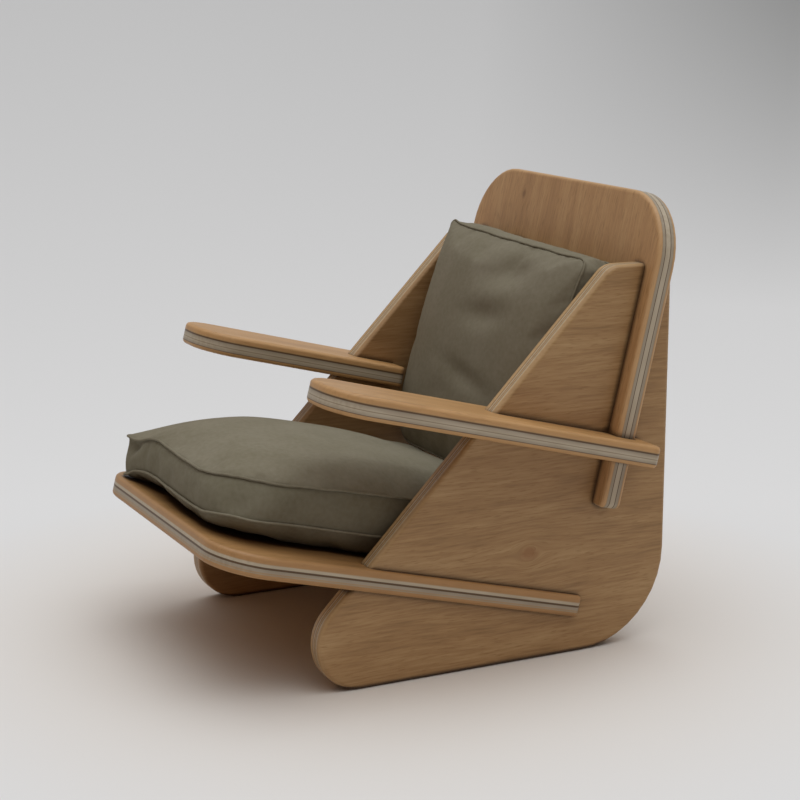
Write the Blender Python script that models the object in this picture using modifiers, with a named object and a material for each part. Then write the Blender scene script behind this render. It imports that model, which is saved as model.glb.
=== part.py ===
"""Slot-together plywood lounge armchair with two loose, piped cushions.

Six thick plywood panels lock into each other with half-lap slots and no fasteners.
Two box cushions lie in the frame, each a foam core in a zipped fabric cover.

Metres, +Z up. The chair faces -Y and is symmetric about X = 0. The sitter's left is +X.
Heights are from the floor and depths are from the rear edge of the side panels, until
the last step sets the origin on the floor under the middle of the chair.
"""

import math
from collections import namedtuple

import bmesh
import bpy
from mathutils import Matrix, Vector

# Plywood
PANEL = 0.040
EDGE_ROUND = 0.007
EDGE_SEGMENTS = 3
SHARP_EDGE = math.radians(40)
END_CORNER = 0.012
ARC_STEP = math.radians(9)
CLEARANCE = 0.0003
WELD = 0.00001
CUT_OVERRUN = 0.2

# Side panels
INNER_WIDTH = 0.529
SIDE_HEIGHT = 0.706
SIDE_REAR_RADIUS = 0.175
SIDE_TOP_FRONT_RADIUS = 0.040
SIDE_TOE_RADIUS = 0.0836
SIDE_TOE_REACH = 0.700
SIDE_SLANT = math.radians(45.7)

# Seat and armrests, which share one rake, rising towards the front
RAKE = math.radians(14.5)
SEAT_HEIGHT_AT_REAR = 0.0398
SEAT_FRONT = 0.906
SEAT_REAR = 0.190
SEAT_LAP = 0.181
SEAT_OVERHANG = 0.0125
SEAT_CORNER = 0.092
ARM_HEIGHT_AT_REAR = 0.3502
ARM_FRONT = 0.722
ARM_TAIL = 0.029
ARM_LAP = 0.100
ARM_INNER_OVERHANG = 0.052
ARM_OUTER_OVERHANG = 0.080
ARM_CORNER = 0.075

# Back panel, leaning backwards
BACK_LEAN = math.radians(13.4)
BACK_FOOT_DEPTH = 0.2042
BACK_TOP = 0.847
BACK_BOTTOM = 0.279
BACK_LAP = 0.182
BACK_LEG_WIDTH = 0.0335
BACK_CORNER = 0.125

# Cushions
CLOTH = 0.002
PIPING_RADIUS = 0.003
CUSHION_SIDE_GAP = 0.004
DRAW_IN = 0.010
CORNER_TRIM = 0.020
CORNER_SHARPNESS = 8
SEAM_RISE = 3
BOXING = 0.065
SEAT_CUSHION_SETBACK = 0.003
SEAT_CUSHION_LENGTH = 0.688
SEAT_CUSHION_CROWN = 0.075
SEAT_CUSHION_REAR_FALL = 2.2
SEAT_CUSHION_SAG = 0.070
SEAT_SEAM_FRONT = 0.022
SEAT_SEAM_REAR = 0.043
BACK_CUSHION_LENGTH = 0.456
BACK_CUSHION_CROWN = 0.045
BACK_CUSHION_LOWER_FALL = 1.0
BACK_CUSHION_SAG = 0.075
BACK_SEAM_TOP = 0.026
BACK_SEAM_BOTTOM = 0.058
CUSHION_GRID = 8

# Zips
ZIP_LENGTH = 0.400
ZIP_WIDTH = 0.024
ZIP_THICKNESS = 0.0012
SLIDER_LENGTH = 0.010
SLIDER_WIDTH = 0.009
SLIDER_HEIGHT = 0.0035
PULL_LENGTH = 0.024
PULL_WIDTH = 0.006
PULL_THICKNESS = 0.0016

# Worked out from the sizes above
SIDE_INNER = INNER_WIDTH / 2
SIDE_OUTER = SIDE_INNER + PANEL
SLOT_WIDTH = PANEL + 2 * CLEARANCE
SIDE_TOE_CORNER = SIDE_TOE_RADIUS - SIDE_TOE_REACH - SIDE_TOE_RADIUS / math.tan(SIDE_SLANT / 2)
CUSHION_BASE = 2 * CLEARANCE + CLOTH
PIPING_OUT = CLOTH + CLEARANCE + PIPING_RADIUS
PIPING_REACH = PIPING_OUT + PIPING_RADIUS
CUSHION_HALF_WIDTH = SIDE_INNER - CUSHION_SIDE_GAP - PIPING_REACH

Cushion = namedtuple(
    "Cushion",
    "half_width half_length crown zip_end_fall sag plain_seam zip_seam",
)
SEAT_CUSHION = Cushion(
    CUSHION_HALF_WIDTH,
    SEAT_CUSHION_LENGTH / 2 - PIPING_REACH,
    SEAT_CUSHION_CROWN,
    SEAT_CUSHION_REAR_FALL,
    SEAT_CUSHION_SAG,
    SEAT_SEAM_FRONT,
    SEAT_SEAM_REAR,
)
BACK_CUSHION = Cushion(
    CUSHION_HALF_WIDTH,
    BACK_CUSHION_LENGTH / 2 - PIPING_REACH,
    BACK_CUSHION_CROWN,
    BACK_CUSHION_LOWER_FALL,
    BACK_CUSHION_SAG,
    BACK_SEAM_TOP,
    BACK_SEAM_BOTTOM,
)


def clear_scene():
    for item in list(bpy.data.objects):
        bpy.data.objects.remove(item, do_unlink=True)


def collection(name):
    group = bpy.data.collections.new(name)
    bpy.context.scene.collection.children.link(group)
    return group


def finish(name, colour, roughness, metallic=0.0):
    material = bpy.data.materials.new(name)
    material.use_nodes = True
    shader = material.node_tree.nodes["Principled BSDF"]
    shader.inputs["Base Color"].default_value = (*colour, 1.0)
    shader.inputs["Roughness"].default_value = roughness
    shader.inputs["Metallic"].default_value = metallic
    material.diffuse_color = (*colour, 1.0)
    return material


def frame_empty(name, parent, matrix):
    empty = bpy.data.objects.new(name, None)
    PARTS.objects.link(empty)
    empty.parent = parent
    empty.matrix_local = matrix
    return empty


def add_part(name, mesh, material, parent):
    part = bpy.data.objects.new(name, mesh)
    part.data.materials.clear()
    part.data.materials.append(material)
    PARTS.objects.link(part)
    part.parent = parent
    return part


def add_tool(part, name, mesh, parent, operation):
    """Object that only cuts or joins a part, out of the finished chair."""
    tool = bpy.data.objects.new(name, mesh)
    CUTTERS.objects.link(tool)
    tool.parent = parent
    tool.hide_render = True
    tool.display_type = "WIRE"
    boolean = part.modifiers.new(name, "BOOLEAN")
    boolean.operation = operation
    boolean.object = tool


def mesh_from(bm, name):
    mesh = bpy.data.meshes.new(name)
    bm.to_mesh(mesh)
    bm.free()
    return mesh


def smooth(mesh):
    mesh.shade_smooth()
    mesh.set_sharp_from_angle(angle=SHARP_EDGE)
    return mesh


def box_mesh(name, low, high):
    """Box between two opposite corners."""
    low, high = Vector(low), Vector(high)
    bm = bmesh.new()
    bmesh.ops.create_cube(bm, size=1)
    bmesh.ops.scale(bm, verts=bm.verts, vec=high - low)
    bmesh.ops.translate(bm, verts=bm.verts, vec=(low + high) / 2)
    return mesh_from(bm, name)


def front_edge_on(height):
    """Where the side panels' slanted front edge meets a raked panel of this height at the rear."""
    rise = math.tan(SIDE_SLANT)
    return (height + SIDE_TOE_CORNER * rise) / (math.cos(RAKE) * rise + math.sin(RAKE))


def rounded_outline(corners):
    """Outline points of a polygon, anticlockwise, each corner (x, y, radius) an arc."""
    points = []
    for index, (x, y, radius) in enumerate(corners):
        here = Vector((x, y))
        before = (Vector(corners[index - 1][:2]) - here).normalized()
        after = (Vector(corners[(index + 1) % len(corners)][:2]) - here).normalized()
        half = before.angle(after) / 2
        centre = here + (before + after).normalized() * radius / math.sin(half)
        start = here + before * radius / math.tan(half) - centre
        turn = math.pi - 2 * half
        steps = max(2, math.ceil(turn / ARC_STEP))
        for step in range(steps + 1):
            points.append(centre + Matrix.Rotation(turn * step / steps, 2) @ start)
    return points


def panel(name, corners, parent):
    """Plywood panel from a rounded outline in its own XY plane, with rounded edges."""
    curve = bpy.data.curves.new(name, "CURVE")
    curve.dimensions = "2D"
    curve.fill_mode = "BOTH"
    curve.extrude = PANEL / 2
    points = rounded_outline(corners)
    spline = curve.splines.new("POLY")
    spline.points.add(len(points) - 1)
    for spot, point in zip(spline.points, points):
        spot.co = (point.x, point.y, 0, 1)
    spline.use_cyclic_u = True
    draft = bpy.data.objects.new(name + "_outline", curve)
    PARTS.objects.link(draft)
    depsgraph = bpy.context.evaluated_depsgraph_get()
    flat = bpy.data.meshes.new_from_object(draft.evaluated_get(depsgraph))
    bpy.data.objects.remove(draft, do_unlink=True)
    bm = bmesh.new()
    bm.from_mesh(flat)
    bpy.data.meshes.remove(flat)
    bmesh.ops.remove_doubles(bm, verts=bm.verts, dist=WELD)
    bmesh.ops.dissolve_limit(bm, angle_limit=ARC_STEP / 100, verts=bm.verts, edges=bm.edges)
    part = add_part(name, smooth(mesh_from(bm, name)), PLYWOOD, parent)
    rounding = part.modifiers.new("rounded edges", "BEVEL")
    rounding.width = EDGE_ROUND
    rounding.segments = EDGE_SEGMENTS
    rounding.limit_method = "ANGLE"
    rounding.angle_limit = SHARP_EDGE
    rounding.use_clamp_overlap = False
    rounding.harden_normals = True
    return part


def cut_box(part, name, parent, low, high):
    """Cut a box, given by two corners in the parent's frame, out of a part."""
    add_tool(part, name, box_mesh(name, low, high), parent, "DIFFERENCE")


def side_panel(name, side):
    """One side panel, in depth and height, with its three slots."""
    middle = side * (SIDE_INNER + PANEL / 2)
    upright = Matrix.Rotation(math.pi / 2, 4, "Z") @ Matrix.Rotation(math.pi / 2, 4, "X")
    parent = frame_empty(name + "_frame", CHAIR, Matrix.Translation((middle, 0, 0)) @ upright)
    shoulder = SIDE_TOE_CORNER + SIDE_HEIGHT / math.tan(SIDE_SLANT)
    part = panel(
        name,
        [
            (SIDE_TOE_CORNER, 0, SIDE_TOE_RADIUS),
            (0, 0, SIDE_REAR_RADIUS),
            (0, SIDE_HEIGHT, END_CORNER),
            (shoulder, SIDE_HEIGHT, SIDE_TOP_FRONT_RADIUS),
        ],
        parent,
    )
    near, far = sorted((side * (SIDE_INNER - CUT_OVERRUN), side * (SIDE_OUTER + CUT_OVERRUN)))
    half = SLOT_WIDTH / 2
    root = CLEARANCE / 2
    cut_box(part, name + "_seat_slot", SEAT_FRAME,
            (near, -SEAT_FRONT - CUT_OVERRUN, -half), (far, SEAT_ROOT + root, half))
    cut_box(part, name + "_arm_slot", ARM_FRAME,
            (near, -ARM_FRONT - CUT_OVERRUN, -half), (far, ARM_ROOT + root, half))
    cut_box(part, name + "_back_slot", BACK_FRAME,
            (near, BACK_ROOT - root, -half), (far, BACK_TOP + CUT_OVERRUN, half))


def slot_spans():
    """Where the two side panels pass through the cross panels, with clearance."""
    for side in (-1, 1):
        edges = sorted((side * (SIDE_INNER - CLEARANCE), side * (SIDE_OUTER + CLEARANCE)))
        yield "left" if side > 0 else "right", edges


def seat_panel():
    half = SIDE_OUTER + SEAT_OVERHANG
    part = panel(
        "seat_panel",
        [
            (-half, -SEAT_FRONT, SEAT_CORNER),
            (half, -SEAT_FRONT, SEAT_CORNER),
            (half, -SEAT_REAR, END_CORNER),
            (-half, -SEAT_REAR, END_CORNER),
        ],
        SEAT_FRAME,
    )
    for label, (low, high) in slot_spans():
        cut_box(part, "seat_slot_" + label, SEAT_FRAME,
                (low, SEAT_ROOT - CLEARANCE / 2, -PANEL), (high, CUT_OVERRUN, PANEL))


def back_panel():
    half = SIDE_OUTER + BACK_LEG_WIDTH
    part = panel(
        "back_panel",
        [
            (-half, BACK_BOTTOM, END_CORNER),
            (half, BACK_BOTTOM, END_CORNER),
            (half, BACK_TOP, BACK_CORNER),
            (-half, BACK_TOP, BACK_CORNER),
        ],
        BACK_FRAME,
    )
    for label, (low, high) in slot_spans():
        cut_box(part, "back_slot_" + label, BACK_FRAME,
                (low, -CUT_OVERRUN, -PANEL), (high, BACK_ROOT + CLEARANCE / 2, PANEL))


def armrest(name, side):
    """Armrest, wide in front and a prong outside the side panel, notched for the back's leg."""
    inner = side * (SIDE_INNER - ARM_INNER_OVERHANG)
    outer = side * (SIDE_OUTER + ARM_OUTER_OVERHANG)
    rear = ARM_AT_LEG + PANEL / 2 + ARM_TAIL
    low, high = sorted((inner, outer))
    part = panel(
        name,
        [
            (low, -ARM_FRONT, ARM_CORNER),
            (high, -ARM_FRONT, ARM_CORNER),
            (high, rear, END_CORNER),
            (low, rear, END_CORNER),
        ],
        ARM_FRAME,
    )
    low, high = sorted((inner - side * CUT_OVERRUN, side * (SIDE_OUTER + CLEARANCE)))
    cut_box(part, name + "_side_slot", ARM_FRAME,
            (low, ARM_ROOT - CLEARANCE / 2, -PANEL), (high, rear + CUT_OVERRUN, PANEL))
    low, high = sorted((side * SIDE_INNER, side * (SIDE_OUTER + BACK_LEG_WIDTH + CLEARANCE)))
    cut_box(part, name + "_leg_notch", BACK_FRAME,
            (low, 0, -SLOT_WIDTH / 2), (high, BACK_TOP, SLOT_WIDTH / 2))


def seam_height(cushion, v):
    """Height of the lower seam over the face that the cushion lies on, along its length."""
    fall = ((1 - v) / 2) ** SEAM_RISE
    return cushion.zip_seam + (cushion.plain_seam - cushion.zip_seam) * fall


def cushion_point(cushion, place):
    """Point of a cushion's core for a point of a box that runs from -1 to 1 each way.

    The zip is at +Y. The other sides draw in between the corners, the top is crowned,
    and the underside bulges down until it lies flat.
    """
    u = math.sin(place.x * math.pi / 2)
    v = math.sin(place.y * math.pi / 2)
    trim = CORNER_TRIM * (u * v) ** CORNER_SHARPNESS
    end_draw = DRAW_IN * (1 - u * u) if v < 0 else 0.0
    x = u * (cushion.half_width - DRAW_IN * (1 - v * v) - trim)
    y = v * (cushion.half_length - end_draw - trim)
    length_fall = (1 - v * v) ** (cushion.zip_end_fall if v > 0 else 1.0)
    swell = math.sqrt(max(0.0, (1 - u * u) * length_fall))
    seam = seam_height(cushion, v)
    if place.z > 0:
        z = seam + BOXING + cushion.crown * swell
    else:
        z = max(0.0, seam - cushion.sag * swell)
    return Vector((x, y, CUSHION_BASE + z))


def cushion_cage(cushion, keep=None):
    """Shaped cage of a cushion: all of it, or only its top, bottom or band of faces.

    Points of the upper seam and above it are tagged.
    """
    bm = bmesh.new()
    bmesh.ops.create_cube(bm, size=2)
    broad = [edge for edge in bm.edges if abs(edge.verts[0].co.z - edge.verts[1].co.z) < 1]
    bmesh.ops.subdivide_edges(bm, edges=broad, cuts=CUSHION_GRID - 1, use_grid_fill=True)
    if keep:
        level = {"top": 1, "band": 0, "bottom": -1}[keep]
        spare = [face for face in bm.faces if round(face.calc_center_median().z) != level]
        bmesh.ops.delete(bm, geom=spare, context="FACES")
    for vert in bm.verts:
        vert.tag = vert.co.z > 0
        vert.co = cushion_point(cushion, vert.co)
    bm.normal_update()
    return bm


def cover_piece(name, cushion, keep, material, parent):
    """One cut piece of the cover: a skin lying on the core, with the cloth's thickness."""
    bm = cushion_cage(cushion, keep)
    for vert in bm.verts:
        vert.co += vert.normal * CLEARANCE * vert.calc_shell_factor()
        vert.co.z = max(vert.co.z, CUSHION_BASE - CLEARANCE)
        if keep == "band":
            vert.co.z += -CLEARANCE if vert.tag else CLEARANCE
    part = add_part(name, smooth(mesh_from(bm, name)), material, parent)
    cloth = part.modifiers.new("cloth", "SOLIDIFY")
    cloth.thickness = CLOTH
    cloth.offset = 1.0


def piping(name, cushion, upper, parent):
    """Piping sewn into a seam: a closed tube just outside the edge of the boxing."""
    bm = cushion_cage(cushion, "band")
    lift = Vector((0, 0, CLOTH / 2 if upper else -CLOTH / 2))
    ring = [
        vert.co + vert.normal * PIPING_OUT * vert.calc_shell_factor() + lift
        for vert in bm.verts
        if vert.tag == upper
    ]
    bm.free()
    width, length = cushion.half_width, cushion.half_length
    ring.sort(key=lambda point: math.atan2(point.y / length, point.x / width))
    curve = bpy.data.curves.new(name, "CURVE")
    curve.dimensions = "3D"
    curve.bevel_depth = PIPING_RADIUS
    curve.bevel_resolution = 1
    curve.use_fill_caps = True
    spline = curve.splines.new("POLY")
    spline.points.add(len(ring) - 1)
    for spot, point in zip(spline.points, ring):
        spot.co = (*point, 1)
    spline.use_cyclic_u = True
    add_part(name, curve, PIPING_CLOTH, parent)


def block(name, low, high, material, parent):
    return add_part(name, box_mesh(name, low, high), material, parent)


def zip_and_slider(prefix, cushion, parent):
    """Zip tape on the boxing at the zip end, and the slider that runs along it."""
    level = CUSHION_BASE + seam_height(cushion, 1.0) + BOXING / 2
    face = cushion.half_length + 2 * CLEARANCE + CLOTH
    block(
        prefix + "_zip",
        (-ZIP_LENGTH / 2, face, level - ZIP_WIDTH / 2),
        (ZIP_LENGTH / 2, face + ZIP_THICKNESS, level + ZIP_WIDTH / 2),
        ZIP_TAPE,
        parent,
    )
    seat = face + ZIP_THICKNESS + CLEARANCE
    start = -ZIP_LENGTH / 2
    slider = block(
        prefix + "_zip_slider",
        (start, seat, level - SLIDER_WIDTH / 2),
        (start + SLIDER_LENGTH, seat + SLIDER_HEIGHT, level + SLIDER_WIDTH / 2),
        NICKEL,
        parent,
    )
    centre = start + SLIDER_LENGTH / 2
    crest = seat + SLIDER_HEIGHT + CLEARANCE
    name = prefix + "_pull_tab"
    tab = box_mesh(
        name,
        (centre - PULL_WIDTH / 2, crest - PULL_THICKNESS, level - PULL_LENGTH),
        (centre + PULL_WIDTH / 2, crest, level),
    )
    add_tool(slider, name, tab, parent, "UNION")


def cushion_pieces(prefix, cushion, faces, parent):
    """Core, cover pieces, piping, zip and slider of one cushion."""
    core = smooth(mesh_from(cushion_cage(cushion), prefix + "_core"))
    add_part(prefix + "_core", core, FOAM, parent)
    upper, lower = faces
    cover_piece(f"{prefix}_{upper}_cover", cushion, "top", CLOTH_COVER, parent)
    cover_piece(f"{prefix}_{lower}_cover", cushion, "bottom", CLOTH_COVER, parent)
    cover_piece(prefix + "_boxing", cushion, "band", CLOTH_COVER, parent)
    piping(f"{prefix}_{upper}_piping", cushion, True, parent)
    piping(f"{prefix}_{lower}_piping", cushion, False, parent)
    zip_and_slider(prefix, cushion, parent)


def seat_cushion_frame():
    """Frame on the seat's top face, in the middle of the seat cushion, zip end to the rear."""
    middle = -SEAT_FRONT + SEAT_CUSHION_SETBACK + SEAT_CUSHION_LENGTH / 2
    return SEAT_MATRIX @ Matrix.Translation((0, middle, PANEL / 2))


def back_cushion_frame(bottom):
    """Frame on the back's front face for a back cushion whose core ends at bottom."""
    middle = Matrix.Translation((0, bottom + BACK_CUSHION.half_length, PANEL / 2))
    return BACK_MATRIX @ middle @ Matrix.Rotation(math.pi, 4, "Z")


def seat_cushion_profile():
    """Upper edge of the seat cushion's cover on the chair's middle plane, front to rear."""
    steps = [-1 + 2 * step / CUSHION_GRID for step in range(CUSHION_GRID + 1)]
    core = [cushion_point(SEAT_CUSHION, Vector((0, step, 1))) for step in steps]
    return [(point.y, point.z + CLEARANCE + CLOTH) for point in core]


def rests_clear(bottom, profile):
    """Whether both lower pipings of the back cushion clear the seat cushion's cover."""
    to_seat = seat_cushion_frame().inverted() @ back_cushion_frame(bottom)
    seam = CUSHION_BASE + seam_height(BACK_CUSHION, 1.0)
    reach = PIPING_RADIUS + CLEARANCE
    for level in (seam - CLOTH / 2, seam + BOXING + CLOTH / 2):
        spot = to_seat @ Vector((0, BACK_CUSHION.half_length + PIPING_OUT, level))
        for (y0, z0), (y1, z1) in zip(profile, profile[1:]):
            if y0 - reach < spot.y < y1 + reach:
                along = Vector((y1 - y0, z1 - z0)).normalized()
                height = (spot.z - z0) * along.x - (spot.y - y0) * along.y
                if height < reach:
                    return False
    return True


def back_cushion_bottom():
    """Lowest place on the back where the back cushion rests on the seat cushion."""
    profile = seat_cushion_profile()
    low, high = BACK_BOTTOM - BACK_CUSHION_LENGTH, BACK_TOP
    while high - low > CLEARANCE / 10:
        middle = (low + high) / 2
        if rests_clear(middle, profile):
            high = middle
        else:
            low = middle
    return high


def stand_on_origin():
    """Set the origin on the floor under the middle of the chair's depth."""
    bpy.context.view_layer.update()
    depsgraph = bpy.context.evaluated_depsgraph_get()
    depths = []
    for part in PARTS.objects:
        if part.type == "EMPTY":
            continue
        shape = part.evaluated_get(depsgraph)
        mesh = shape.to_mesh()
        depths += [(part.matrix_world @ vert.co).y for vert in mesh.vertices]
        shape.to_mesh_clear()
    CHAIR.location.y = -(min(depths) + max(depths)) / 2


clear_scene()
PARTS = collection("plywood_lounge_armchair")
CUTTERS = collection("cutters")

PLYWOOD = finish("oiled plywood", (0.30, 0.18, 0.095), 0.45)
CLOTH_COVER = finish("olive grey cloth", (0.19, 0.175, 0.13), 0.9)
PIPING_CLOTH = finish("olive grey piping", (0.14, 0.13, 0.10), 0.9)
FOAM = finish("cream foam", (0.80, 0.74, 0.58), 0.95)
ZIP_TAPE = finish("dark zip tape", (0.06, 0.055, 0.045), 0.8)
NICKEL = finish("nickel", (0.62, 0.60, 0.57), 0.3, 1.0)

SEAT_MATRIX = Matrix.Translation((0, 0, SEAT_HEIGHT_AT_REAR)) @ Matrix.Rotation(-RAKE, 4, "X")
ARM_MATRIX = Matrix.Translation((0, 0, ARM_HEIGHT_AT_REAR)) @ Matrix.Rotation(-RAKE, 4, "X")
BACK_MATRIX = (
    Matrix.Translation((0, -BACK_FOOT_DEPTH, 0))
    @ Matrix.Rotation(math.pi / 2 - BACK_LEAN, 4, "X")
)

SEAT_ROOT = front_edge_on(SEAT_HEIGHT_AT_REAR) + SEAT_LAP
ARM_ROOT = front_edge_on(ARM_HEIGHT_AT_REAR) + ARM_LAP
BACK_ROOT = SIDE_HEIGHT / math.cos(BACK_LEAN) - BACK_LAP
LEAN_RISE = math.tan(BACK_LEAN)
ARM_AT_LEG = (ARM_HEIGHT_AT_REAR * LEAN_RISE - BACK_FOOT_DEPTH) / (
    math.cos(RAKE) + math.sin(RAKE) * LEAN_RISE
)

CHAIR = frame_empty("chair", None, Matrix())
SEAT_FRAME = frame_empty("seat_frame", CHAIR, SEAT_MATRIX)
ARM_FRAME = frame_empty("arm_frame", CHAIR, ARM_MATRIX)
BACK_FRAME = frame_empty("back_frame", CHAIR, BACK_MATRIX)

side_panel("side_panel_left", 1)
side_panel("side_panel_right", -1)
seat_panel()
back_panel()
armrest("armrest_left", 1)
armrest("armrest_right", -1)

SEAT_CUSHION_FRAME = frame_empty("seat_cushion_frame", CHAIR, seat_cushion_frame())
BACK_CUSHION_FRAME = frame_empty(
    "back_cushion_frame", CHAIR, back_cushion_frame(back_cushion_bottom())
)
cushion_pieces("seat_cushion", SEAT_CUSHION, ("top", "bottom"), SEAT_CUSHION_FRAME)
cushion_pieces("back_cushion", BACK_CUSHION, ("front", "rear"), BACK_CUSHION_FRAME)

stand_on_origin()
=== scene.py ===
# %% [markdown]
# # Slot-together plywood lounge armchair
# Six thick plywood panels push into each other with half-lap slots, and two loose cushions lie in
# the frame they make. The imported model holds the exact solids, so this lesson starts by loading
# them. Everything after that dresses them: finishes for the panels, sewn cushions in place of the
# plain cushion solids, zips on their hidden edges, and a quiet studio round the chair.

# %% Load the frame
import bpy
import bmesh
import math
from mathutils import Matrix, Vector, noise


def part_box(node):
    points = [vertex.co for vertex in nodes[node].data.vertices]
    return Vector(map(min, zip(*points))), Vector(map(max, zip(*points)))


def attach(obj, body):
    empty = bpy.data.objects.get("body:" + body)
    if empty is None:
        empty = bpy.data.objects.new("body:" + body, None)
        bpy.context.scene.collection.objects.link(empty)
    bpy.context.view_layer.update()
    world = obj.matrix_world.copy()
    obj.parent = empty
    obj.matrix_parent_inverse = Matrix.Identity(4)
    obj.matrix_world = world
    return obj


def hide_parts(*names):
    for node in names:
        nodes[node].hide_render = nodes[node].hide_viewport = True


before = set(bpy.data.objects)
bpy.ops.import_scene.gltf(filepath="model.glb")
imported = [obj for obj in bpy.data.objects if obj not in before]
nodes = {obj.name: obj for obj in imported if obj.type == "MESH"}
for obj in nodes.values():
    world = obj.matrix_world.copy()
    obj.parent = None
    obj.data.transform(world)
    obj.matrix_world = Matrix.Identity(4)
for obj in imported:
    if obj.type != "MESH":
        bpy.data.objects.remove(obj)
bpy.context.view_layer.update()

# %% [markdown]
# ## Camera
# A camera is a place, a direction and a lens. The panels' edges in the photograph fix all three:
# a long lens from the front and the sitter's left, 1.2 m up, looking slightly down. Turning a
# camera that points straight down by 90 degrees less the tilt, and then round Z, aims it.

# %% Camera
CAMERA_TURN = math.radians(63.49)
CAMERA_TILT = math.radians(12.49)
CAMERA_FROM_REAR_EDGE = Vector((3.155, -1.967, 1.2116))
CAMERA_LENS_MM = 86.83

rear_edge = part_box("side_panel_left")[1].y
camera = bpy.data.objects.new("camera", bpy.data.cameras.new("camera"))
bpy.context.scene.collection.objects.link(camera)
camera.location = CAMERA_FROM_REAR_EDGE + Vector((0, rear_edge, 0))
camera.rotation_euler = (math.pi / 2 - CAMERA_TILT, 0, CAMERA_TURN)
camera.data.sensor_width = 36
camera.data.lens = CAMERA_LENS_MM
camera.data.clip_end = 500
bpy.context.scene.camera = camera
print("camera at", [round(value, 3) for value in camera.location])

# %% [markdown]
# ## Colours and nodes
# Colours are written as sRGB hex values, as a paint chart gives them, but a shader works in linear
# light, so one function converts them. Another adds a shader node, with its settings and links,
# so that each finish below reads as a short list of what it is made of.

# %% Colour and node helpers
def linear(hex_colour):
    """sRGB hex value as linear red, green, blue and alpha."""
    channels = [int(hex_colour[place:place + 2], 16) / 255 for place in (1, 3, 5)]
    return [c / 12.92 if c <= 0.04045 else ((c + 0.055) / 1.055) ** 2.4 for c in channels] + [1.0]


def add(tree, kind, inputs=None, stops=None, **settings):
    """Add a shader node. An input is a value, or another node's output to link from."""
    node = tree.nodes.new("ShaderNode" + kind)
    for name, value in settings.items():
        setattr(node, name, value)
    for name, value in (inputs or {}).items():
        if isinstance(value, bpy.types.NodeSocket):
            tree.links.new(value, node.inputs[name])
        else:
            node.inputs[name].default_value = value
    if stops:
        ramp = node.color_ramp.elements
        while len(ramp) < len(stops):
            ramp.new(1.0)
        for stop, (place, colour) in zip(ramp, stops):
            stop.position = place
            stop.color = linear(colour)
    return node


def new_material(name, **surface):
    """Material with a Principled shader, whose even values are set on its own sockets."""
    material = bpy.data.materials.new(name)
    material.use_nodes = True
    shader = material.node_tree.nodes["Principled BSDF"]
    for socket, value in surface.items():
        shader.inputs[socket.replace("_", " ").title().replace("Ior", "IOR")].default_value = value
    return material, material.node_tree, shader


def per_metre(size_mm):
    """How many features of this size, in millimetres, fit in a metre."""
    return 1000 / size_mm


print("mid grey #808080 is", round(linear("#808080")[0], 3), "in linear light")

# %% [markdown]
# ## Oiled plywood
# The panels are thick plywood, faced with a light brown sliced veneer and oiled, then rounded
# over at the edges. Oil leaves a soft sheen. Slicing leaves broad bands of early and late wood,
# long fibres and short dark pores, and here and there the grain flows round a small knot. The
# round-overs carry a painted highlight: they are drawn lighter where they turn from the face.
# Painted shade darkens the wood close to the joints and in other corners that light reaches less.
# At an edge the plies show as thin stripes, dark where the grain is cut across. All but the
# painted shade at the joints is worked out from one point: how far it lies along the grain,
# across the grain and through the thickness of its own panel.

# %% Oiled plywood
PANEL_MM = 40
BANDS_MM = (300, 34)
FIBRES_MM = (70, 4.6)
FLECKS_MM = (24, 2.6)
WANDER_MM = (420, 110)
WANDER = 0.024
FEATURES = (("bands", BANDS_MM, 3), ("fibres", FIBRES_MM, 3), ("flecks", FLECKS_MM, 1))
# The arms' veneer is drawn lighter than the sides': painted light for their upward tops.
ARM_VENEER_PAINTED_LIGHT = ("#997247", "#B08654", "#C09766")
SIDE_VENEER = ("#886944", "#A17F55", "#B19267")
# The far side panel's veneer is darker: painted shade, as it lies in the shade of the near wing.
FAR_SIDE_VENEER_PAINTED_SHADE = ("#82623E", "#97754D", "#A7865D")
SEAT_VENEER = ("#8C683F", "#A27A4C", "#AD8558")
BACK_VENEER = ("#A57E54", "#B68E61", "#C39E71")
VENEER_PLACES = (0.31, 0.5, 0.69)
FLECK_BROWN = "#8A683F"
PORES = {"From Min": 0.57, "From Max": 0.72, "To Max": 0.55}
KNOT_STRETCH = 1.4
# A knot runs through the whole panel, so its pattern is stretched without end that way.
RIGHT_THROUGH = 1e6
KNOT_HEART = {"From Min": 0.7, "From Max": 2.4, "To Max": 0.6}
# Painted highlight: the round-overs are drawn lighter where they turn away from the face.
ROUND_OVER_HIGHLIGHT = {"From Min": 0.98, "From Max": 0.70, "To Max": 0.55}
PLY_WEAR = [(0.3, "#EDEAE6"), (0.65, "#FFFFFF")]
PLY_BLUR = 0.02
# Painted shade: the wood is darkened wherever other surfaces lie close, at joints and near the floor.
PAINTED_SHADE_REACH = 0.016
PAINTED_SHADE_GREY = "#756C62"
PAINTED_SHADE = {"From Min": 0.88, "From Max": 0.5}
OIL_GLOSS = 0.38
OIL_ROUGHNESS = {"To Min": 0.36, "To Max": 0.56}
GRAIN_RELIEF = {"Strength": 0.15, "Distance": 0.0006}


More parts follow.
